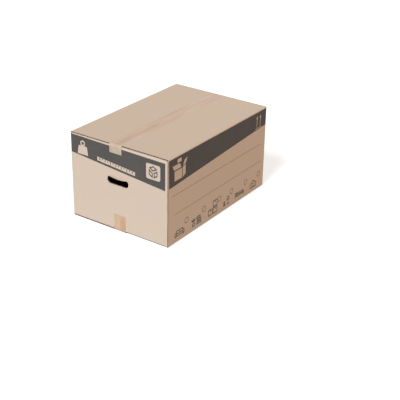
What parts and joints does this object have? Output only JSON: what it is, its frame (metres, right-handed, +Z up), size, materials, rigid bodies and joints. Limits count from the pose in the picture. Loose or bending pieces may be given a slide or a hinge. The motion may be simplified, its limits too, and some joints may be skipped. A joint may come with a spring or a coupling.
{
  "type": "moving box",
  "caption": "Large slotted corrugated cardboard box, closed with packing tape, with an oval hand hole in each end and a printed dark band round its sides.",
  "frame": {"origin": "middle of the footprint, at the underside of the bottom tape, which is what the box stands on", "axes": "+X along the box's length, parallel to the flaps' middle seam; +Y across its width; +Z up. The glued corner of the carton is at -X, -Y."},
  "size_m": [0.6096, 0.408, 0.3184],
  "materials": {
    "board": "plain brown kraft liner with a charcoal printed band",
    "tape": "thin buff packing film, satin"
  },
  "bodies": {
    "root": {"carton": "board", "top_tape": "tape", "bottom_tape": "tape"}
  },
  "joints": []
}
